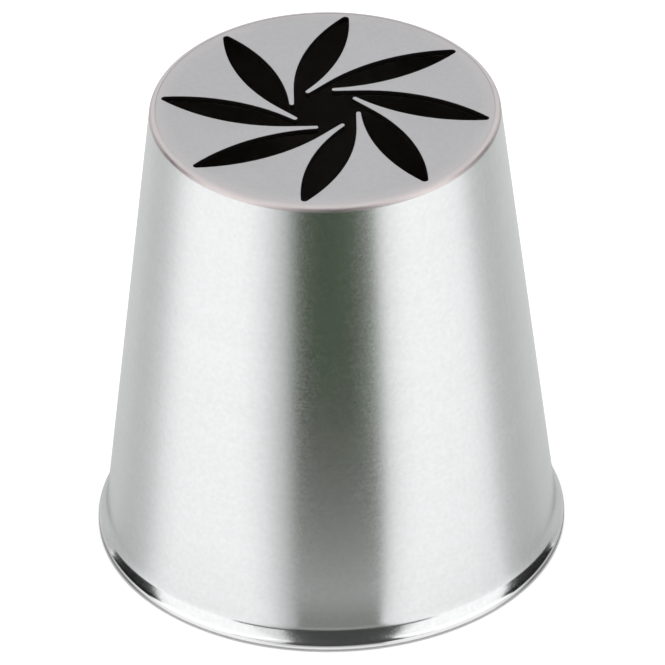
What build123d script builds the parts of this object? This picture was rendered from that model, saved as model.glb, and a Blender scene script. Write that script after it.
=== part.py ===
from build123d import *
from math import acos, asin, atan2, cos, degrees, radians, sqrt, tan
import os

# Piping nozzle: a thin cone of sheet steel that flares into the rolled rim it stands on,
# with a flat front plate whose curved petal slots run into one centre hole.
# Millimetres and degrees, +Z up along the cone's axis, origin on the axis in the resting plane.

# Driving sizes of the whole nozzle
height = 35.6
face_diameter = 25.0
rim_diameter = 33.7

# Cone shell: one sheet, flared at the base and rolled tight under into a bead
sheet_thickness = 0.4
flare_radius = 0.9
bead_radius = 0.42
rim_overhang = 0.5
rim_land_depth = 0.02

# Front plate: a disc wedged in the cone's narrow end
plate_thickness = 0.5
cut_overrun = 1.0

# Petal slots: each is a lens of two like arcs about a centre line that passes beside the axis
petal_count = 8
petal_heading = 69.7
petal_offset = 2.5
petal_start = 0.55
petal_width = 2.56
petal_end_margin = 0.36
petal_end_radius = 0.26

# Tongues of metal between the petals, each with a narrow round tip set back from a petal's root
tongue_tip_setback = 1.2
tongue_tip_width = 0.34

# Angles of a whole, a half and a quarter turn
whole_turn = 360.0
half_turn = 180.0
quarter_turn = 90.0

# The wall runs straight from the corner of the face, and the rim stands out from its line
face_corner = Vector(face_diameter / 2, height)
bead_centre = Vector(rim_diameter / 2 - bead_radius, bead_radius - rim_land_depth)
bead_step = rim_overhang - bead_radius
wall_chord = bead_centre - face_corner
wall_lean = degrees(atan2(wall_chord.X, -wall_chord.Y) - asin(bead_step / wall_chord.length))
wall_outward = Vector(1, 0).rotate(Axis.Z, wall_lean)
wall_upward = Vector(0, 1).rotate(Axis.Z, wall_lean)
sheet_across = Vector(sheet_thickness / cos(radians(wall_lean)), 0)

# The weld fills the corner that the sheet's cut end leaves beside the plate
shell_top = height - sheet_thickness
plate_bottom = height - plate_thickness


def wall_outside(level):
    """Point of the cone's outer face at a level, as radius and height."""
    return Vector(face_corner.X + (height - level) * tan(radians(wall_lean)), level)


def wall_inside(level):
    """Point of the cone's inner face at a level, as radius and height."""
    return wall_outside(level) - sheet_across


def turn_outline(edges):
    """Solid of revolution of a closed outline drawn in radius and height."""
    return revolve(Plane.XZ * make_face(edges), axis=Axis.Z)


def cone_shell():
    """Tapered wall that flares into a bead, which is pressed flat where it rests."""
    # The flare is a hollow arc that touches both the wall and the bead
    flare_step = flare_radius - bead_step
    spacing = flare_radius + bead_radius
    flare_rise = sqrt(spacing**2 - flare_step**2)
    flare_centre = bead_centre + wall_outward * flare_step + wall_upward * flare_rise
    flare_turn = degrees(asin(flare_rise / spacing))
    wall_angle = half_turn + wall_lean
    flare_outside = CenterArc(flare_centre, flare_radius, wall_angle, flare_turn)

    # The rolled edge closes on the inner face of the flare, in a seam inside the mouth
    inner_radius = flare_radius + sheet_thickness
    seam_at_bead = (spacing**2 + bead_radius**2 - inner_radius**2) / (2 * spacing * bead_radius)
    seam_at_flare = (spacing**2 + inner_radius**2 - bead_radius**2) / (2 * spacing * inner_radius)
    flare_inside = CenterArc(flare_centre, inner_radius, wall_angle, flare_turn - degrees(acos(seam_at_flare)))

    # Angles of the bead, from the flare outwards and down to the land, then up to the seam
    bead_top = wall_lean + flare_turn
    land_angle = degrees(asin(sqrt(bead_radius**2 - bead_centre.Y**2) / bead_radius))
    land_start = land_angle - quarter_turn
    land_end = whole_turn - quarter_turn - land_angle
    seam_angle = bead_top + degrees(acos(seam_at_bead))
    bead_outside = CenterArc(bead_centre, bead_radius, bead_top, land_start - bead_top)
    bead_inside = CenterArc(bead_centre, bead_radius, land_end, seam_angle - land_end)
    return turn_outline(
        [
            Line(wall_outside(shell_top), flare_outside @ 0),
            flare_outside,
            bead_outside,
            Line(bead_outside @ 1, bead_inside @ 0),
            bead_inside,
            flare_inside,
            Line(flare_inside @ 0, wall_inside(shell_top)),
            Line(wall_inside(shell_top), wall_outside(shell_top)),
        ]
    )


def weld_ring():
    """Weld between the sheet's end and the plate, ground to a round corner."""
    seat = Line(wall_inside(shell_top), wall_outside(shell_top))
    corner = TangentArc(seat @ 1, wall_inside(height), tangent=wall_upward)
    return turn_outline([seat, corner, Line(corner @ 1, seat @ 0)])


def point_on_arc(centre, towards, radius):
    """Point of a circle on the ray from its centre through another point."""
    return centre + (towards - centre).normalized() * radius


def petal_opening():
    """Plan of the whole opening: every petal, joined by the centre hole."""
    pitch = whole_turn / petal_count
    bulge = petal_width / 2

    # One petal lies along X, from a sharp root beside the axis to a small round end
    reach = wall_inside(height).X - petal_end_margin
    root = Vector(petal_start, petal_offset)
    end_centre = Vector(sqrt(reach**2 - petal_offset**2) - petal_end_radius, petal_offset)

    # Its two sides are arcs that start at the root, bulge by half the width and touch the end
    length = end_centre.X - root.X
    end_share = petal_end_radius / bulge
    end_reserve = petal_end_radius * (bulge - petal_end_radius)
    rise_length = (length - sqrt(length**2 - end_share * (length**2 + end_reserve))) / end_share
    arc_radius = (rise_length**2 + bulge**2) / (2 * bulge)
    widest = root + Vector(rise_length, 0)
    left_centre = widest - Vector(0, arc_radius - bulge)
    right_centre = widest + Vector(0, arc_radius - bulge)
    left_end = point_on_arc(left_centre, end_centre, arc_radius)
    right_end = point_on_arc(right_centre, end_centre, arc_radius)

    # The tongue's outer side is the right arc of the petal behind it, as far as the tip
    next_centre = right_centre.rotate(Axis.Z, pitch)
    next_root = root.rotate(Axis.Z, pitch)
    setback_turn = degrees(tongue_tip_setback / arc_radius)
    tip_outer = next_centre + (next_root - next_centre).rotate(Axis.Z, setback_turn)
    tip_inner = point_on_arc(next_centre, tip_outer, arc_radius + tongue_tip_width)
    tip_forward = (tip_inner - tip_outer).rotate(Axis.Z, -quarter_turn)
    tip_end = (tip_outer + tip_inner) / 2 + tip_forward / 2

    # Its inner side is a straight line from the tip that touches the left arc
    tip_ray = tip_inner - left_centre
    touch_turn = degrees(atan2(sqrt(tip_ray.length**2 - arc_radius**2), arc_radius))
    touch = left_centre + tip_ray.normalized().rotate(Axis.Z, -touch_turn) * arc_radius

    before_outer = tip_outer.rotate(Axis.Z, -pitch)
    before_end = tip_end.rotate(Axis.Z, -pitch)
    before_inner = tip_inner.rotate(Axis.Z, -pitch)
    sector = [
        Line(tip_inner, touch),
        RadiusArc(touch, left_end, arc_radius),
        RadiusArc(left_end, right_end, petal_end_radius),
        RadiusArc(right_end, before_outer, arc_radius),
        ThreePointArc(before_outer, before_end, before_inner),
    ]
    turns = [petal_heading + pitch * number for number in range(petal_count)]
    return make_face([edge.rotate(Axis.Z, turn) for turn in turns for edge in sector])


def face_plate():
    """Flat disc with a tapered edge that seats in the wall, cut through by the petals."""
    blank = turn_outline(
        Polyline(
            Vector(0, plate_bottom),
            wall_inside(plate_bottom),
            wall_inside(height),
            Vector(0, height),
            close=True,
        )
    )
    cutter = extrude(petal_opening(), amount=plate_thickness + 2 * cut_overrun)
    return blank - cutter.moved(Location((0, 0, plate_bottom - cut_overrun)))


os.makedirs("parts", exist_ok=True)
for name, solid in (
    ("cone_shell", cone_shell()),
    ("face_plate", face_plate()),
    ("weld_ring", weld_ring()),
):
    export_step(solid, f"parts/{name}.step")
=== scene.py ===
from math import acos, asin, atan2, cos, pi, radians, sin, sqrt

import bpy
from bpy.props import FloatProperty, FloatVectorProperty, IntProperty, PointerProperty
from bpy.types import Operator, Panel, PropertyGroup
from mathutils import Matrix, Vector


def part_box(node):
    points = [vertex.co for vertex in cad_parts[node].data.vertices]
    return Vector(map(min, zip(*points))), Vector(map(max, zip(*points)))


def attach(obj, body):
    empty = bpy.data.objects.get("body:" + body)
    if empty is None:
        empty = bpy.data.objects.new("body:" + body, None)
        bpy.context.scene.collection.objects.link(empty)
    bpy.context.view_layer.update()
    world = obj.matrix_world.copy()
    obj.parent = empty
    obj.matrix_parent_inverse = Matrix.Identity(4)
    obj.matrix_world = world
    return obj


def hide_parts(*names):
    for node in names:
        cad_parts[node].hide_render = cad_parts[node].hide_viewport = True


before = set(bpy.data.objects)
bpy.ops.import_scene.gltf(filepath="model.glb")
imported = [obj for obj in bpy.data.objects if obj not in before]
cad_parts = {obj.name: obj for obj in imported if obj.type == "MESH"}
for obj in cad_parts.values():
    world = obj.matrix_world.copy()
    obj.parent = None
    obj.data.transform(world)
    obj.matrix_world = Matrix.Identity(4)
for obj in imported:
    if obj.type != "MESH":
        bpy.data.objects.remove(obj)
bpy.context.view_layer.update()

bl_info = {
    "name": "Piping Nozzle",
    "version": (1, 0, 0),
    "blender": (4, 5, 0),
    "location": "View3D > Sidebar > Nozzle",
    "description": "Builds and finishes a steel piping nozzle with petal slots over its packed frame",
    "category": "Mesh",
}

MM = 0.001
FULL_TURN = 2 * pi
MERGE_DISTANCE = 0.001 * MM

# Levels and radii that the frame gives
FACE_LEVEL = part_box("face_plate")[1].z
SHELL_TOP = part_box("cone_shell")[1].z
RIM_RADIUS = min(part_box("cone_shell")[1].x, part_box("cone_shell")[1].y)
PLATE_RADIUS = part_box("face_plate")[1].x
WELD_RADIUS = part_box("weld_ring")[1].x

# The photograph's frame and the camera's sensor
PHOTO_SIDE_PIXELS = 665
SENSOR_WIDTH_MM = 36.0

# Steps that the arcs of the turned outlines are drawn in
FLARE_STEPS = 14
BEAD_OUTSIDE_STEPS = 20
BEAD_INSIDE_STEPS = 16
FLARE_INSIDE_STEPS = 8
WELD_STEPS = 12

# The turned pieces, and the plate, have a sharp edge where their faces turn by more than this
TURNED_EDGE_ANGLE = radians(40)
PLATE_EDGE_ANGLE = radians(50)

# Noise rarely leaves this range, which spread() stretches
NOISE_LOW = 0.3
NOISE_HIGH = 0.7

# How far the light floor reaches from the nozzle
FLOOR_RADIUS = 2.0

# Each softbox: how far round from the front, how high above the horizon, how far off and how wide
SOFTBOX_ROUND = radians(62)
SOFTBOX_HEIGHT = radians(25)
SOFTBOX_DISTANCE = 0.4
SOFTBOX_SIDE = 0.38

# Painted reflection: tones painted on the floor that only the metal's rays see, by the angle in degrees
# round the wall, and the whole angle that these stops cover
PAINTED_REFLECTION_SPAN = 180
PAINTED_REFLECTION_TONES = (
    (-90, 0.6),
    (-75, 0.6),
    (-66, 0.53),
    (-60, 0.54),
    (-55, 0.62),
    (-49, 0.86),
    (-44, 0.98),
    (-26, 1.0),
    (-20, 0.86),
    (-16, 0.64),
    (-13.5, 0.5),
    (-11.5, 0.38),
    (-10, 0.09),
    (-7, 0.05),
    (6, 0.055),
    (10, 0.09),
    (13, 0.15),
    (15, 0.27),
    (16.5, 0.76),
    (19, 0.88),
    (23, 0.97),
    (26, 1.0),
    (42, 0.95),
    (46, 0.84),
    (51, 0.58),
    (56, 0.5),
    (62, 0.5),
    (72, 0.58),
    (90, 0.62),
)

# Cards on the floor that only the metal sees, as painted reflections: name, degrees round from the front,
# distance, width and height in millimetres, and grey
CARDS = (
    ("front_card", 4.5, 130, 126, 180, 0.07),
    ("low_card", 0, 134, 262, 15, 0.2),
    ("left_card", -101, 130, 70, 100, 0.02),
    ("right_card", 101, 130, 76, 100, 0.02),
    ("back_card", 180, 100, 340, 40, 0.62),
)


class NozzleSizes(PropertyGroup):
    """Sheet sizes and edge details that the frame's boxes don't give."""

    sheet_thickness: FloatProperty(
        name="Sheet thickness",
        description="Thickness of the cone's sheet steel",
        default=0.4 * MM,
        unit="LENGTH",
    )
    flare_radius: FloatProperty(
        name="Flare radius",
        description="Outer radius of the hollow flare between the wall and the bead",
        default=2.0 * MM,
        unit="LENGTH",
    )
    bead_radius: FloatProperty(
        name="Bead radius",
        description="Radius of the bead that the sheet's edge is rolled into",
        default=0.42 * MM,
        unit="LENGTH",
    )
    rim_overhang: FloatProperty(
        name="Rim overhang",
        description="How far the rim stands out from the line of the wall",
        default=0.5 * MM,
        unit="LENGTH",
    )
    rim_land_depth: FloatProperty(
        name="Rim land depth",
        description="How deep the rolled rim is pressed flat where it rests",
        default=0.02 * MM,
        unit="LENGTH",
    )
    cut_edge_rounding: FloatProperty(
        name="Cut edge rounding",
        description="Rounding of the front plate's cut and outer edges",
        default=0.035 * MM,
        unit="LENGTH",
    )
    turn_steps: IntProperty(
        name="Steps in a turn",
        description="Number of steps that each turned piece is spun in",
        default=288,
        min=32,
    )


class NozzleFinish(PropertyGroup):
    """Colours and roughness of the nozzle's finishes."""

    wall_colour: FloatVectorProperty(
        name="Wall",
        description="Colour of the turned satin wall",
        default=(0.715, 0.728, 0.73),
        subtype="COLOR",
    )
    rim_colour: FloatVectorProperty(
        name="Rim",
        description="Colour of the polished rolled rim",
        default=(0.78, 0.785, 0.78),
        subtype="COLOR",
    )
    # Painted shade: the inside is darker than the wall, partly as dull sheet steel and partly as painted
    # shade in the slots
    inside_colour: FloatVectorProperty(
        name="Inside",
        description="Colour of the dull inner face of the cone",
        default=(0.34, 0.31, 0.29),
        subtype="COLOR",
    )
    plate_colour: FloatVectorProperty(
        name="Front plate",
        description="Colour of the matt front plate",
        default=(0.5, 0.5, 0.51),
        subtype="COLOR",
    )
    # Painted shade: the slots' walls are painted nearly black where the slots are in shade
    cut_colour: FloatVectorProperty(
        name="Cut walls",
        description="Colour of the dark walls of the petal slots",
        default=(0.03, 0.026, 0.024),
        subtype="COLOR",
    )
    weld_colour: FloatVectorProperty(
        name="Weld",
        description="Colour of the ground weld round the front plate",
        default=(0.66, 0.6, 0.6),
        subtype="COLOR",
    )
    wall_roughness: FloatProperty(
        name="Wall roughness",
        description="Roughness of the turned wall",
        default=0.2,
        subtype="FACTOR",
    )
    wall_anisotropy: FloatProperty(
        name="Wall anisotropy",
        description="How far the turning marks stretch highlights up the wall",
        default=0.6,
        subtype="FACTOR",
    )
    rim_roughness: FloatProperty(
        name="Rim roughness",
        description="Roughness of the polished rim",
        default=0.1,
        subtype="FACTOR",
    )
    plate_roughness: FloatProperty(
        name="Plate roughness",
        description="Roughness of the matt front plate",
        default=0.5,
        subtype="FACTOR",
    )
    weld_roughness: FloatProperty(
        name="Weld roughness",
        description="Roughness of the ground weld",
        default=0.42,
        subtype="FACTOR",
    )
    inside_roughness: FloatProperty(
        name="Inside roughness",
        description="Roughness of the cone's dull inner face",
        default=0.45,
        subtype="FACTOR",
    )
    cut_roughness: FloatProperty(
        name="Cut roughness",
        description="Roughness of the slots' cut walls",
        default=0.6,
        subtype="FACTOR",
    )
    weld_tint: FloatProperty(
        name="Weld tint",
        description="Share of the weld's colour where the weld meets the front plate",
        default=0.35,
        subtype="FACTOR",
    )


class NozzleStudio(PropertyGroup):
    """Camera, floor and light of the stage."""

    camera_elevation: FloatProperty(
        name="Camera elevation",
        description="Height of the camera above the horizon",
        default=radians(34.97),
        subtype="ANGLE",
    )
    camera_distance: FloatProperty(
        name="Camera distance",
        description="Distance from the camera to the middle of the nozzle",
        default=1100 * MM,
        unit="LENGTH",
    )
    camera_lens_pixels: FloatProperty(
        name="Lens in pixels",
        description="Focal length measured in pixels of the square image",
        default=15335.0,
    )
    camera_roll: FloatProperty(
        name="Camera roll",
        description="Turn of the camera about its own line of sight",
        default=radians(-0.9),
        subtype="ANGLE",
    )
    aim_right_pixels: FloatProperty(
        name="Aim to the right",
        description="Pixels from the nozzle's middle to the image's middle, to the right",
        default=3.9,
    )
    aim_up_pixels: FloatProperty(
        name="Aim upwards",
        description="Pixels from the nozzle's middle to the image's middle, upwards",
        default=-19.3,
    )
    room_strength: FloatProperty(
        name="Room",
        description="Strength of the even white light from all round",
        default=1.0,
    )
    softbox_power: FloatProperty(
        name="Softbox power",
        description="Power of each of the two side softboxes",
        default=0.15,
        unit="POWER",
    )
    floor_fill: FloatProperty(
        name="Floor fill",
        description="Light that the camera and the metal see added to the floor, so that it is white",
        default=0.4,
    )


def select_only(piece):
    """Selects one object alone and makes it active."""
    bpy.ops.object.select_all(action="DESELECT")
    piece.select_set(True)
    bpy.context.view_layer.objects.active = piece


def start_outline(name, point):
    """Begins an outline with one vertex, in edit mode, and returns its object."""
    bpy.ops.object.select_all(action="DESELECT")
    bpy.ops.mesh.primitive_plane_add(size=1, location=(0, 0, 0))
    piece = bpy.context.object
    piece.name = name
    piece.data.name = name
    bpy.ops.object.mode_set(mode="EDIT")
    bpy.ops.mesh.select_mode(type="VERT")
    bpy.ops.mesh.select_all(action="SELECT")
    bpy.ops.mesh.merge(type="CENTER")
    bpy.ops.transform.translate(value=point)
    return piece


def draw_to(start, end):
    """Extends the outline with a straight line from its selected vertex."""
    bpy.ops.mesh.extrude_vertices_move(TRANSFORM_OT_translate={"value": end - start})


def draw_arc(centre, angle, steps):
    """Extends the outline with an arc from its selected vertex, anticlockwise as seen from the front."""
    bpy.ops.mesh.spin(steps=steps, angle=angle, center=centre, axis=(0, 1, 0))


def turn_outline(steps):
    """Spins the outline once round the nozzle's axis and closes the seam."""
    bpy.ops.mesh.select_all(action="SELECT")
    bpy.ops.mesh.remove_doubles(threshold=MERGE_DISTANCE)
    bpy.ops.mesh.spin(steps=steps, angle=FULL_TURN, center=(0, 0, 0), axis=(0, 0, 1))
    bpy.ops.mesh.select_all(action="SELECT")
    bpy.ops.mesh.remove_doubles(threshold=MERGE_DISTANCE)
    bpy.ops.mesh.normals_make_consistent(inside=False)
    bpy.ops.object.mode_set(mode="OBJECT")


def seat_on_floor(piece):
    """Moves the vertices of the piece's foot exactly to the floor."""
    select_only(piece)
    bpy.ops.object.mode_set(mode="EDIT")
    bpy.ops.mesh.select_mode(type="VERT")
    bpy.ops.mesh.select_all(action="DESELECT")
    bpy.ops.object.mode_set(mode="OBJECT")
    for vertex in piece.data.vertices:
        vertex.select = vertex.co.z < MERGE_DISTANCE
    bpy.ops.object.mode_set(mode="EDIT")
    bpy.ops.transform.resize(value=(1, 1, 0), center_override=(0, 0, 0))
    bpy.ops.object.mode_set(mode="OBJECT")


def give_finish(piece, material, is_chosen):
    """Adds a material and assigns it to the chosen faces."""
    select_only(piece)
    piece.data.materials.append(material)
    piece.active_material_index = len(piece.data.materials) - 1
    bpy.ops.object.mode_set(mode="EDIT")
    bpy.ops.mesh.select_mode(type="FACE")
    bpy.ops.mesh.select_all(action="DESELECT")
    bpy.ops.object.mode_set(mode="OBJECT")
    for face in piece.data.polygons:
        face.select = is_chosen(face)
    bpy.ops.object.mode_set(mode="EDIT")
    bpy.ops.object.material_slot_assign()
    bpy.ops.object.mode_set(mode="OBJECT")


def every_face(face):
    """Chooses each face for a finish."""
    return True


def section(point):
    """Radius and level of a point, as a point of the section plane."""
    return Vector((Vector((point.x, point.y)).length, 0, point.z))


class ShellSection:
    """Points, centres and angles of the cone shell's section."""

    def __init__(self, sizes):
        self.outer_top = Vector((WELD_RADIUS, 0, SHELL_TOP))
        self.bead_radius = sizes.bead_radius
        bead_level = sizes.bead_radius - sizes.rim_land_depth
        self.bead_centre = Vector((RIM_RADIUS - sizes.bead_radius, 0, bead_level))
        bead_step = sizes.rim_overhang - sizes.bead_radius
        chord = self.bead_centre - self.outer_top
        self.lean = atan2(chord.x, -chord.z) - asin(bead_step / chord.length)
        self.outward = Vector((cos(self.lean), 0, sin(self.lean)))
        self.upward = Vector((-sin(self.lean), 0, cos(self.lean)))
        self.inner_top = self.outer_top - Vector((sizes.sheet_thickness / cos(self.lean), 0, 0))

        # The flare is a hollow arc that touches the wall and the bead
        self.inner_radius = sizes.flare_radius + sizes.sheet_thickness
        spacing = sizes.flare_radius + sizes.bead_radius
        flare_step = sizes.flare_radius - bead_step
        flare_rise = sqrt(spacing**2 - flare_step**2)
        self.flare_centre = self.bead_centre + self.outward * flare_step + self.upward * flare_rise
        self.flare_start = self.flare_centre - self.outward * sizes.flare_radius
        self.flare_end = self.flare_centre - self.outward * self.inner_radius
        self.flare_turn = asin(flare_rise / spacing)

        # The bead runs from the flare down to its land, and up inside to a seam
        bead_square = self.bead_radius**2
        inner_square = self.inner_radius**2
        at_bead = (spacing**2 + bead_square - inner_square) / (2 * spacing * self.bead_radius)
        at_flare = (spacing**2 + inner_square - bead_square) / (2 * spacing * self.inner_radius)
        self.inner_turn = self.flare_turn - acos(at_flare)
        land_width = sqrt(bead_square - bead_level**2)
        land_turn = asin(land_width / self.bead_radius)
        self.outer_sweep = self.lean + self.flare_turn + pi / 2 - land_turn
        self.land_start = Vector((self.bead_centre.x + land_width, 0, 0))
        self.land_end = Vector((self.bead_centre.x - land_width, 0, 0))
        self.seam_sweep = 3 * pi / 2 - land_turn - self.lean - self.flare_turn - acos(at_bead)


def new_material(name, colour, roughness):
    """A metal material and its shader node."""
    material = bpy.data.materials.new(name)
    material.use_nodes = True
    shader = material.node_tree.nodes["Principled BSDF"]
    shader.inputs["Base Color"].default_value = (*colour, 1)
    shader.inputs["Metallic"].default_value = 1
    shader.inputs["Roughness"].default_value = roughness
    return material, shader


def blank_material(name):
    """A material with no nodes, whose glow is found only by the rays that reach it."""
    material = bpy.data.materials.new(name)
    material.use_nodes = True
    material.node_tree.nodes.clear()
    material.cycles.emission_sampling = "NONE"
    return material


def add_node(material, kind, settings=None, **inputs):
    """Adds a node. An input is given by its name, or by its number after an underscore."""
    tree = material.node_tree
    made = tree.nodes.new(kind)
    for key, value in (settings or {}).items():
        setattr(made, key, value)
    for key, value in inputs.items():
        socket = made.inputs[int(key[1:])] if key[1:].isdigit() else made.inputs[key.replace("_", " ")]
        if isinstance(value, bpy.types.NodeSocket):
            tree.links.new(value, socket)
        else:
            socket.default_value = value
    return made


def link(material, output, shader, name):
    """Links a value to the shader's input of this name."""
    material.node_tree.links.new(output, shader.inputs[name])


def math_node(material, operation, *values):
    """Result of a math node on numbers and links."""
    inputs = {f"_{number}": value for number, value in enumerate(values)}
    return add_node(material, "ShaderNodeMath", {"operation": operation}, **inputs).outputs[0]


def blend(material, first, second, share):
    """A value that is this share of the second and the rest of the first."""
    difference = math_node(material, "SUBTRACT", second, first)
    return math_node(material, "MULTIPLY_ADD", difference, share, first)


def map_range(material, value, start, end, low=0.0, high=1.0):
    """Goes from low to high while a value goes from start to end, and stays there beyond."""
    made = add_node(
        material,
        "ShaderNodeMapRange",
        Value=value,
        From_Min=start,
        From_Max=end,
        To_Min=low,
        To_Max=high,
    )
    return made.outputs["Result"]


def mix_colours(material, share, first, second):
    """A colour that is this share of the second and the rest of the first."""
    made = add_node(material, "ShaderNodeMix", {"data_type": "RGBA"}, _0=share, _6=first, _7=second)
    return made.outputs[2]


def object_position(material):
    """Place of a point on its piece."""
    nodes = material.node_tree.nodes
    found = nodes.get("Texture Coordinate") or nodes.new("ShaderNodeTexCoord")
    return found.outputs["Object"]


def split(material, vector):
    """Outputs X, Y and Z of a vector."""
    return add_node(material, "ShaderNodeSeparateXYZ", Vector=vector).outputs


def axis_distance(material):
    """Distance from the nozzle's axis."""
    flat = add_node(
        material,
        "ShaderNodeVectorMath",
        {"operation": "MULTIPLY"},
        _0=object_position(material),
        _1=(1, 1, 0),
    )
    reach = add_node(material, "ShaderNodeVectorMath", {"operation": "LENGTH"}, _0=flat.outputs[0])
    return reach.outputs["Value"]


def around_axis(material):
    """Direction round the nozzle's axis at each point, for the turning marks."""
    place = split(material, object_position(material))
    backward = math_node(material, "MULTIPLY", place["Y"], -1.0)
    across = add_node(material, "ShaderNodeCombineXYZ", X=backward, Y=place["X"])
    made = add_node(material, "ShaderNodeVectorMath", {"operation": "NORMALIZE"}, _0=across.outputs[0])
    return made.outputs[0]


def noise(material, scale, detail):
    """Even grey noise between 0 and 1, with a scale in patches per metre."""
    place = object_position(material)
    made = add_node(material, "ShaderNodeTexNoise", Vector=place, Scale=scale, Detail=detail)
    return made.outputs["Fac"]


def turning_marks(material, across, along, detail):
    """Noise drawn out round the axis, with patches per metre across and marks per metre along it."""
    place = object_position(material)
    mapping = add_node(material, "ShaderNodeMapping", Vector=place, Scale=(across, across, along))
    squeezed = mapping.outputs["Vector"]
    made = add_node(material, "ShaderNodeTexNoise", Vector=squeezed, Scale=1.0, Detail=detail)
    return made.outputs["Fac"]


def spread(material, value, low=0.0, high=1.0):
    """Stretches the middle of a noise value over a range."""
    return map_range(material, value, NOISE_LOW, NOISE_HIGH, low, high)


def spread_about(material, value, middle, below, above):
    """Stretches a noise value from so far below a middle to so far above it."""
    return spread(material, value, middle - below, middle + above)


def shade_colour(material, value, colour, share):
    """A colour that noise makes darker and lighter by a share."""
    low = tuple(c * (1 - share) for c in colour)
    high = tuple(min(1, c * (1 + share)) for c in colour)
    return mix_colours(material, value, (*low, 1), (*high, 1))


def bump(material, shader, height, strength, distance):
    """Raises the surface by a height value times a distance."""
    made = add_node(material, "ShaderNodeBump", Height=height, Strength=strength, Distance=distance)
    link(material, made.outputs["Normal"], shader, "Normal")


def turned_satin(finish):
    """Satin wall with a fine grain and faint marks round the axis from the lathe."""
    middle = finish.wall_roughness
    material, shader = new_material("turned_satin", finish.wall_colour, middle)
    fine_marks = turning_marks(material, across=80, along=9000, detail=3.0)
    broad_marks = turning_marks(material, across=40, along=700, detail=2.0)
    speckle = noise(material, scale=6000.0, detail=3.0)
    grain = noise(material, scale=3000.0, detail=4.0)

    # The wall is burnished smoother towards its flare
    speckled_marks = blend(material, speckle, fine_marks, share=0.25)
    uneven = spread_about(material, speckled_marks, middle, below=0.05, above=0.05)
    level = split(material, object_position(material))["Z"]
    burnish = map_range(material, level, start=1.5 * MM, end=4.5 * MM, low=0.7)
    link(material, math_node(material, "MULTIPLY", uneven, burnish), shader, "Roughness")

    mottle = spread(material, blend(material, broad_marks, grain, share=0.75))
    colour = shade_colour(material, mottle, finish.wall_colour, share=0.045)
    link(material, colour, shader, "Base Color")
    marks_share = 0.02
    relief = math_node(material, "MULTIPLY_ADD", fine_marks, marks_share, speckle)
    bump(material, shader, relief, strength=0.6, distance=0.003 * MM)
    shader.inputs["Anisotropic"].default_value = finish.wall_anisotropy
    link(material, around_axis(material), shader, "Tangent")
    return material


def polished_rim(finish):
    """Bright polished roll of the rim, a little uneven."""
    middle = finish.rim_roughness
    material, shader = new_material("polished_rim", finish.rim_colour, middle)
    waves = noise(material, scale=900.0, detail=2.0)
    scuffs = turning_marks(material, across=400, along=6000, detail=3.0)
    uneven = spread_about(material, scuffs, middle, below=0.03, above=0.05)
    link(material, uneven, shader, "Roughness")
    link(material, shade_colour(material, scuffs, finish.rim_colour, share=0.03), shader, "Base Color")
    bump(material, shader, waves, strength=0.3, distance=0.01 * MM)
    return material


def dull_and_shaded_inside(finish):
    """Dull inner face of the sheet, its colour partly dull steel and partly painted shade that keeps the
    slots dark.
    """
    middle = finish.inside_roughness
    material, shader = new_material("dull_and_shaded_inside", finish.inside_colour, middle)
    marks = turning_marks(material, across=60, along=2500, detail=3.0)
    uneven = spread_about(material, marks, middle, below=0.05, above=0.07)
    link(material, uneven, shader, "Roughness")
    link(material, shade_colour(material, marks, finish.inside_colour, share=0.08), shader, "Base Color")
    bump(material, shader, marks, strength=0.3, distance=0.002 * MM)
    return material


def matt_plate(finish):
    """Matt front plate with a fine even grain and a faint cloudiness."""
    middle = finish.plate_roughness
    material, shader = new_material("matt_plate", finish.plate_colour, middle)
    grain = noise(material, scale=3500.0, detail=4.0)
    clouds = noise(material, scale=220.0, detail=2.0)
    mottle = spread(material, blend(material, clouds, grain, share=0.8))
    plain = shade_colour(material, mottle, finish.plate_colour, share=0.07)

    # The weld's heat has tinted the outer edge of the plate
    tint_start = WELD_RADIUS - 1.5 * MM
    tint_end = WELD_RADIUS - 0.4 * MM
    nearness = map_range(material, axis_distance(material), start=tint_start, end=tint_end)
    tint = math_node(material, "MULTIPLY", nearness, finish.weld_tint)
    colour = mix_colours(material, tint, plain, (*finish.weld_colour, 1))
    link(material, colour, shader, "Base Color")
    uneven = spread_about(material, grain, middle, below=0.05, above=0.06)
    link(material, uneven, shader, "Roughness")
    bump(material, shader, grain, strength=0.35, distance=0.004 * MM)
    return material


def shaded_cut(finish):
    """Slightly rough walls that the cutting left in the petal slots, painted nearly black as painted
    shade.
    """
    middle = finish.cut_roughness
    material, shader = new_material("shaded_cut", finish.cut_colour, middle)
    streaks = noise(material, scale=7000.0, detail=2.0)
    link(material, shade_colour(material, streaks, finish.cut_colour, share=0.3), shader, "Base Color")
    uneven = spread_about(material, streaks, middle, below=0.1, above=0.1)
    link(material, uneven, shader, "Roughness")
    bump(material, shader, streaks, strength=0.4, distance=0.004 * MM)
    return material


def ground_weld(finish):
    """Weld band, ground smooth and tinted a little warm by its heat."""
    middle = finish.weld_roughness
    material, shader = new_material("ground_weld", finish.weld_colour, middle)
    ripple = noise(material, scale=700.0, detail=2.0)
    grinding = turning_marks(material, across=500, along=4000, detail=3.0)

    # Its inner edge fades into the grey of the plate
    fade_start = WELD_RADIUS - 0.4 * MM
    fade_end = WELD_RADIUS - 0.15 * MM
    distance = axis_distance(material)
    outwards = map_range(material, distance, start=fade_start, end=fade_end, low=finish.weld_tint)
    warm = shade_colour(material, ripple, finish.weld_colour, share=0.06)
    colour = mix_colours(material, outwards, (*finish.plate_colour, 1), warm)
    link(material, colour, shader, "Base Color")
    uneven = spread_about(material, grinding, middle, below=0.07, above=0.07)
    link(material, uneven, shader, "Roughness")
    bump(material, shader, ripple, strength=0.4, distance=0.01 * MM)
    return material


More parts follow.
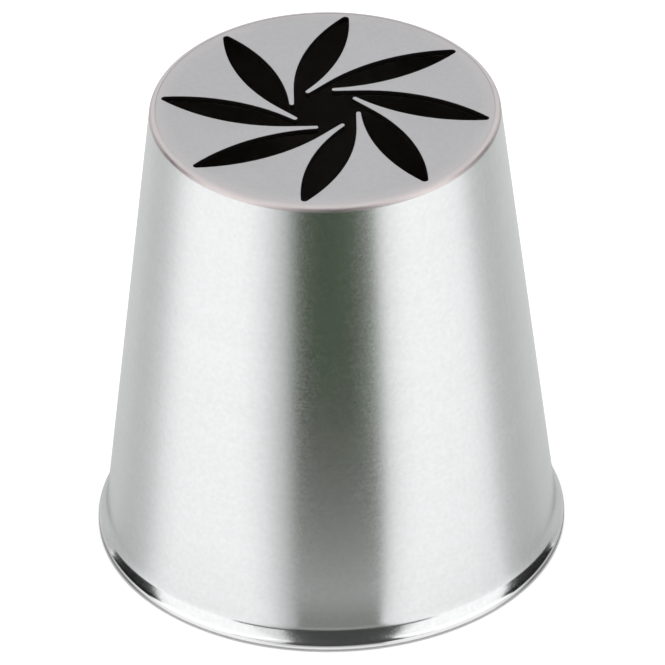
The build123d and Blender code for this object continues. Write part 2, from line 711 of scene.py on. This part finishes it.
class NOZZLE_OT_cone_shell(Operator):
    """Spin the cone's sheet with its flare and rolled rim, and give it its finishes"""

    bl_idname = "nozzle.cone_shell"
    bl_label = "Cone Shell"
    bl_options = {"REGISTER", "UNDO"}

    def execute(self, context):
        sizes = context.scene.nozzle_sizes
        finish = context.scene.nozzle_finish
        shell = ShellSection(sizes)
        piece = start_outline("steel_cone", shell.outer_top)

        # A short last length of wall keeps its shading straight above the flare
        wall_end = shell.flare_start + shell.upward * sizes.bead_radius
        draw_to(shell.outer_top, wall_end)
        draw_to(wall_end, shell.flare_start)
        draw_arc(shell.flare_centre, shell.flare_turn, FLARE_STEPS)
        draw_arc(shell.bead_centre, -shell.outer_sweep, BEAD_OUTSIDE_STEPS)
        draw_to(shell.land_start, shell.land_end)
        draw_arc(shell.bead_centre, -shell.seam_sweep, BEAD_INSIDE_STEPS)
        draw_arc(shell.flare_centre, -shell.inner_turn, FLARE_INSIDE_STEPS)
        draw_to(shell.flare_end, shell.inner_top)
        draw_to(shell.inner_top, shell.outer_top)
        turn_outline(sizes.turn_steps)
        seat_on_floor(piece)

        # A face's centre lies a little inside the round bead, and the margin is for rounding
        rounding_margin = 1.01
        bead_reach = shell.bead_radius * rounding_margin

        def is_rim(face):
            """Tells whether a face lies on the rolled bead."""
            return (section(face.center) - shell.bead_centre).length < bead_reach

        def is_inside(face):
            """Tells whether a face above the bead looks towards the axis."""
            axis_out = Vector((face.center.x, face.center.y, 0))
            return not is_rim(face) and face.normal.dot(axis_out) < 0

        give_finish(piece, turned_satin(finish), every_face)
        give_finish(piece, polished_rim(finish), is_rim)
        give_finish(piece, dull_and_shaded_inside(finish), is_inside)
        select_only(piece)
        bpy.ops.object.shade_smooth_by_angle(angle=TURNED_EDGE_ANGLE)
        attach(piece, "root")
        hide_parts("cone_shell")
        return {"FINISHED"}


class NOZZLE_OT_front_plate(Operator):
    """Round the cut edges of a copy of the front plate and give it its finishes"""

    bl_idname = "nozzle.front_plate"
    bl_label = "Front Plate"
    bl_options = {"REGISTER", "UNDO"}

    def execute(self, context):
        sizes = context.scene.nozzle_sizes
        finish = context.scene.nozzle_finish
        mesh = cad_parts["face_plate"].data.copy()
        mesh.name = "petal_plate"
        mesh.materials.clear()
        piece = bpy.data.objects.new("petal_plate", mesh)
        context.scene.collection.objects.link(piece)
        select_only(piece)

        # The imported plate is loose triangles, so they are joined before its edges are rounded
        flat_within = radians(0.5)
        bpy.ops.mesh.customdata_custom_splitnormals_clear()
        bpy.ops.object.mode_set(mode="EDIT")
        bpy.ops.mesh.select_all(action="SELECT")
        bpy.ops.mesh.remove_doubles(threshold=MERGE_DISTANCE / 2)
        bpy.ops.mesh.dissolve_limited(angle_limit=flat_within)
        bpy.ops.object.mode_set(mode="OBJECT")
        rounding = piece.modifiers.new("Edge rounding", "BEVEL")
        rounding.width = sizes.cut_edge_rounding
        rounding.segments = 2
        rounding.limit_method = "ANGLE"
        rounding.angle_limit = PLATE_EDGE_ANGLE
        rounding.use_clamp_overlap = False
        bpy.ops.object.modifier_apply(modifier=rounding.name)
        bpy.ops.object.shade_smooth_by_angle(angle=PLATE_EDGE_ANGLE)

        # The slots' walls are upright and lie inside the plate's own tapered edge
        upright_limit = 0.3
        slots_reach = PLATE_RADIUS - 0.2 * MM

        def is_cut(face):
            """Tells whether a face is part of a slot's wall."""
            return abs(face.normal.z) < upright_limit and section(face.center).x < slots_reach

        give_finish(piece, matt_plate(finish), every_face)
        give_finish(piece, shaded_cut(finish), is_cut)
        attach(piece, "root")
        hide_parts("face_plate")
        return {"FINISHED"}


class NOZZLE_OT_weld_band(Operator):
    """Spin the ground weld that joins the front plate to the cone"""

    bl_idname = "nozzle.weld_band"
    bl_label = "Weld Band"
    bl_options = {"REGISTER", "UNDO"}

    def execute(self, context):
        sizes = context.scene.nozzle_sizes
        shell = ShellSection(sizes)

        # Its round outside starts in line with the wall and ends at the plate's edge
        rise = (FACE_LEVEL - SHELL_TOP) / cos(shell.lean)
        plate_edge = shell.inner_top + shell.upward * rise
        chord = plate_edge - shell.outer_top
        radius = chord.length_squared / (-2 * chord.dot(shell.outward))
        centre = shell.outer_top - shell.outward * radius
        sweep = 2 * asin(chord.length / (2 * radius))
        piece = start_outline("weld_band", shell.outer_top)
        draw_arc(centre, sweep, WELD_STEPS)
        draw_to(plate_edge, shell.inner_top)
        draw_to(shell.inner_top, shell.outer_top)
        turn_outline(sizes.turn_steps)
        give_finish(piece, ground_weld(context.scene.nozzle_finish), every_face)
        select_only(piece)
        bpy.ops.object.shade_smooth_by_angle(angle=TURNED_EDGE_ANGLE)
        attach(piece, "root")
        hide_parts("weld_ring")
        return {"FINISHED"}


def seen_directly(material):
    """One for rays from the camera, metal or glass, none for the rays of soft light."""
    path = add_node(material, "ShaderNodeLightPath").outputs
    either = math_node(material, "MAXIMUM", path["Is Camera Ray"], path["Is Glossy Ray"])
    return math_node(material, "MAXIMUM", either, path["Is Transmission Ray"])


def wall_turn(material, distance):
    """Part of a turn round the wall, from its front, that mirrors each point of the floor."""
    # A ray that leaves the wall reaches the floor further round, the further out it lands
    near_reach = 23 * MM
    far_share = 0.5
    near_gain = 0.233
    near_power = 1.55

    # Within this part of a turn from the front the painted dark stripe narrows towards the rim
    front_reach = 0.125
    pinch_gain = 0.36
    pinch_power = 1.2

    turned = add_node(
        material,
        "ShaderNodeMapping",
        Vector=object_position(material),
        Rotation=(0, 0, pi / 2),
    )
    around = {"gradient_type": "RADIAL"}
    angle = add_node(material, "ShaderNodeTexGradient", around, Vector=turned.outputs["Vector"])
    floor_turn = math_node(material, "SUBTRACT", angle.outputs["Fac"], 0.5)
    closeness = math_node(material, "DIVIDE", near_reach, distance)
    nearness = math_node(material, "POWER", closeness, near_power)
    turn_share = math_node(material, "MULTIPLY_ADD", nearness, near_gain, far_share)
    turn = math_node(material, "MULTIPLY", floor_turn, turn_share)

    sideways = math_node(material, "DIVIDE", turn, front_reach)
    inward = math_node(material, "SUBTRACT", 1.0, math_node(material, "POWER", sideways, 2.0))
    frontness = math_node(material, "MAXIMUM", inward, 0.0)
    pinch = math_node(material, "POWER", closeness, pinch_power)
    squeeze = math_node(material, "MULTIPLY", frontness, pinch)
    widening = math_node(material, "MULTIPLY_ADD", squeeze, pinch_gain, 1.0)
    return math_node(material, "MULTIPLY", turn, widening)


def painted_reflection_tone(material, distance):
    """Painted reflection: the tone painted on the floor for the metal's rays, from the tones listed by
    angle.
    """
    front_place = 0.5
    spans_in_a_turn = 360 / PAINTED_REFLECTION_SPAN
    turn = wall_turn(material, distance)
    place = math_node(material, "MULTIPLY_ADD", turn, spans_in_a_turn, front_place)
    ramp = add_node(material, "ShaderNodeValToRGB", Fac=place)
    stops = ramp.color_ramp.elements

    # A ramp starts with two stops and keeps at least one, which becomes the first of the tones
    stops.remove(stops[0])
    for number, (degree, tone) in enumerate(PAINTED_REFLECTION_TONES):
        position = front_place + degree / PAINTED_REFLECTION_SPAN
        if number == 0:
            stops[0].position = position
        stop = stops[0] if number == 0 else stops.new(position)
        stop.color = (tone, tone, tone, 1)
    return ramp.outputs["Color"]


def fading(material, distance, halving, start):
    """A value that starts at the rim and halves over each stretch of a given length."""
    halvings = math_node(material, "DIVIDE", distance, halving)
    return math_node(material, "MULTIPLY", math_node(material, "POWER", 0.5, halvings), start)


def painted_reflection_share(material, distance):
    """Painted reflection: the tone painted on the floor for the metal's rays, with a painted light by the
    rim in front and a painted shadow behind.
    """
    beyond = math_node(material, "SUBTRACT", distance, RIM_RADIUS)
    past_rim = math_node(material, "MAXIMUM", beyond, 0.0)

    # Backward is -1 straight in front of the nozzle and 1 straight behind it
    place = split(material, object_position(material))
    backward = math_node(material, "DIVIDE", place["Y"], distance)
    behind = map_range(material, backward, start=-0.72, end=-0.5)
    before = math_node(material, "SUBTRACT", 1.0, behind)

    # Painted light: a narrow and a wide glow painted on the floor in front, seen only in the metal
    narrow_glow = fading(material, past_rim, halving=0.8 * MM, start=0.8)
    wide_glow = fading(material, past_rim, halving=16 * MM, start=0.5)
    dip = map_range(material, past_rim, start=4 * MM, end=9 * MM, low=0.5)
    glow = math_node(material, "ADD", narrow_glow, math_node(material, "MULTIPLY", wide_glow, dip))
    front_glow = math_node(material, "MULTIPLY", glow, before)
    lit = math_node(material, "MAXIMUM", painted_reflection_tone(material, distance), front_glow)

    # Painted shadow: behind, the floor is darkened where the rim touches it, seen only in the metal
    contact = fading(material, past_rim, halving=0.3 * MM, start=0.9)
    shade = math_node(material, "MULTIPLY", contact, behind)
    return math_node(material, "MULTIPLY", lit, math_node(material, "SUBTRACT", 1.0, shade))


def floor_colour(material, tone, distance):
    """Turns a tone into a colour, a little greener where it is dark, in patches further out, as part of
    the painted reflection.
    """
    # The powers that a tone is raised to: a lower one gives more of its colour
    plain_green = 0.985
    painted_green_change = -0.18
    light_blue = 0.97
    dark_blue_change = 0.09

    reach = map_range(material, distance, start=45 * MM, end=65 * MM)
    patches = spread(material, noise(material, scale=45.0, detail=2.0))
    darkness = math_node(material, "POWER", math_node(material, "SUBTRACT", 1.0, tone), 2.0)
    painted_green = math_node(material, "MULTIPLY", math_node(material, "MULTIPLY", patches, reach), darkness)
    green_power = math_node(material, "MULTIPLY_ADD", painted_green, painted_green_change, plain_green)
    blue_power = math_node(material, "MULTIPLY_ADD", darkness, dark_blue_change, light_blue)
    made = add_node(
        material,
        "ShaderNodeCombineColor",
        Red=tone,
        Green=math_node(material, "POWER", tone, green_power),
        Blue=math_node(material, "POWER", tone, blue_power),
    )
    return made.outputs[0]


def add_card(name, azimuth, distance, width, height, grey):
    """A card that only the metal sees, as a painted reflection, standing on the floor and facing the
    nozzle.
    """
    bpy.ops.object.select_all(action="DESELECT")
    out = Vector((sin(azimuth), -cos(azimuth), 0))
    bpy.ops.mesh.primitive_plane_add(
        size=1,
        location=out * distance + Vector((0, 0, height / 2)),
        rotation=(pi / 2, 0, azimuth),
    )
    card = bpy.context.object
    card.name = name
    card.scale = (width, height, 1)
    bpy.ops.object.transform_apply(location=True, rotation=True, scale=True)
    material = blank_material(name)
    shine = add_node(material, "ShaderNodeEmission", Color=(grey, grey, grey, 1))
    add_node(material, "ShaderNodeOutputMaterial", Surface=shine.outputs[0])
    card.data.materials.append(material)
    card.visible_camera = False
    card.visible_diffuse = False
    card.visible_shadow = False


def add_softbox(name, side, power):
    """A large square lamp that faces the nozzle from one side."""
    azimuth = side * SOFTBOX_ROUND
    level = cos(SOFTBOX_HEIGHT)
    out = Vector((sin(azimuth) * level, -cos(azimuth) * level, sin(SOFTBOX_HEIGHT)))
    bpy.ops.object.light_add(type="AREA", location=out * SOFTBOX_DISTANCE)
    lamp = bpy.context.object
    lamp.name = name
    lamp.data.shape = "SQUARE"
    lamp.data.size = SOFTBOX_SIDE
    lamp.data.energy = power
    lamp.rotation_euler = (-out).to_track_quat("-Z", "Y").to_euler()


class NOZZLE_OT_stage(Operator):
    """Set up the white floor, the soft light and the camera"""

    bl_idname = "nozzle.stage"
    bl_label = "Stage"
    bl_options = {"REGISTER", "UNDO"}

    def execute(self, context):
        studio = context.scene.nozzle_studio
        self.lay_floor(studio)
        self.light(context, studio)
        self.place_camera(context, studio)
        return {"FINISHED"}

    def lay_floor(self, studio):
        """Lays a white floor, which the metal mirrors with painted reflections: tones painted by angle
        that only the metal's rays see.
        """
        bpy.ops.object.select_all(action="DESELECT")
        bpy.ops.mesh.primitive_circle_add(vertices=64, radius=FLOOR_RADIUS, fill_type="NGON")
        floor = bpy.context.object
        floor.name = "floor"
        material = blank_material("white_floor")
        distance = axis_distance(material)
        # Painted reflection: for the metal's rays alone the floor is darkened by tones painted by angle
        mirrored = add_node(material, "ShaderNodeLightPath").outputs["Is Glossy Ray"]
        dimming = math_node(material, "SUBTRACT", painted_reflection_share(material, distance), 1.0)
        tone = math_node(material, "MULTIPLY_ADD", mirrored, dimming, 1.0)
        white = floor_colour(material, tone, distance)
        paleness = 0.8
        pale = add_node(material, "ShaderNodeVectorMath", {"operation": "SCALE"}, _0=white, Scale=paleness)
        paint = add_node(material, "ShaderNodeBsdfDiffuse", Color=pale.outputs[0])

        # The fill stays out of the nozzle, so that the slots are dark
        outside = math_node(material, "GREATER_THAN", distance, RIM_RADIUS)
        share = math_node(material, "MULTIPLY", outside, seen_directly(material))
        fill_level = math_node(material, "MULTIPLY", share, studio.floor_fill)
        fill = add_node(material, "ShaderNodeEmission", Color=white, Strength=fill_level)
        both = add_node(material, "ShaderNodeAddShader", _0=paint.outputs[0], _1=fill.outputs[0])
        add_node(material, "ShaderNodeOutputMaterial", Surface=both.outputs[0])
        floor.data.materials.append(material)

    def light(self, context, studio):
        """Lights the nozzle evenly from all round, and more from two softboxes."""
        world = bpy.data.worlds.new("room")
        context.scene.world = world
        world.use_nodes = True
        background = world.node_tree.nodes["Background"]
        background.inputs["Color"].default_value = (1, 1, 1, 1)
        background.inputs["Strength"].default_value = studio.room_strength
        world.cycles.sampling_method = "NONE"
        for name, side in (("softbox_left", -1), ("softbox_right", 1)):
            add_softbox(name, side, studio.softbox_power)
        for name, degrees_round, distance, width, height, grey in CARDS:
            add_card(name, radians(degrees_round), distance * MM, width * MM, height * MM, grey)

    def place_camera(self, context, studio):
        """Sets the camera where the photograph was taken from, and aims it."""
        data = bpy.data.cameras.new("camera")
        camera = bpy.data.objects.new("camera", data)
        context.scene.collection.objects.link(camera)
        elevation = studio.camera_elevation
        back = Vector((0, -cos(elevation), sin(elevation)))
        up = Vector((0, sin(elevation), cos(elevation)))
        pixel = studio.camera_distance / studio.camera_lens_pixels
        middle = Vector((0, 0, FACE_LEVEL / 2))
        aim_right = Vector((studio.aim_right_pixels, 0, 0)) * pixel
        aim = middle + aim_right + up * studio.aim_up_pixels * pixel
        camera.location = middle + back * studio.camera_distance
        camera.rotation_euler = (aim - camera.location).to_track_quat("-Z", "Y").to_euler()
        camera.rotation_euler.rotate_axis("Z", studio.camera_roll)
        data.sensor_width = SENSOR_WIDTH_MM
        data.lens = studio.camera_lens_pixels / PHOTO_SIDE_PIXELS * SENSOR_WIDTH_MM
        data.clip_start = 0.01
        data.clip_end = 10
        context.scene.camera = camera
        context.scene.view_settings.view_transform = "Standard"


class NOZZLE_PT_panel(Panel):
    """Lists the nozzle's settings and steps"""

    bl_idname = "NOZZLE_PT_panel"
    bl_label = "Piping Nozzle"
    bl_space_type = "VIEW_3D"
    bl_region_type = "UI"
    bl_category = "Nozzle"

    def draw(self, context):
        """Draws a button for each step and a box for each group of settings."""
        layout = self.layout
        for step in STEPS:
            layout.operator(step.bl_idname)
        scene = context.scene
        for group in (scene.nozzle_sizes, scene.nozzle_finish, scene.nozzle_studio):
            box = layout.box()
            for name in group.__annotations__:
                box.prop(group, name)


STEPS = (NOZZLE_OT_cone_shell, NOZZLE_OT_front_plate, NOZZLE_OT_weld_band, NOZZLE_OT_stage)
CLASSES = (NozzleSizes, NozzleFinish, NozzleStudio, *STEPS, NOZZLE_PT_panel)


def register():
    """Registers the classes and hangs the settings on the scene."""
    for each in CLASSES:
        bpy.utils.register_class(each)
    bpy.types.Scene.nozzle_sizes = PointerProperty(type=NozzleSizes)
    bpy.types.Scene.nozzle_finish = PointerProperty(type=NozzleFinish)
    bpy.types.Scene.nozzle_studio = PointerProperty(type=NozzleStudio)


def unregister():
    """Takes the settings and the classes away again."""
    del bpy.types.Scene.nozzle_studio
    del bpy.types.Scene.nozzle_finish
    del bpy.types.Scene.nozzle_sizes
    for each in reversed(CLASSES):
        bpy.utils.unregister_class(each)


def main():
    """Makes the pieces and the stage."""
    register()
    bpy.ops.nozzle.cone_shell()
    bpy.ops.nozzle.front_plate()
    bpy.ops.nozzle.weld_band()
    bpy.ops.nozzle.stage()


if __name__ == "__main__":
    main()
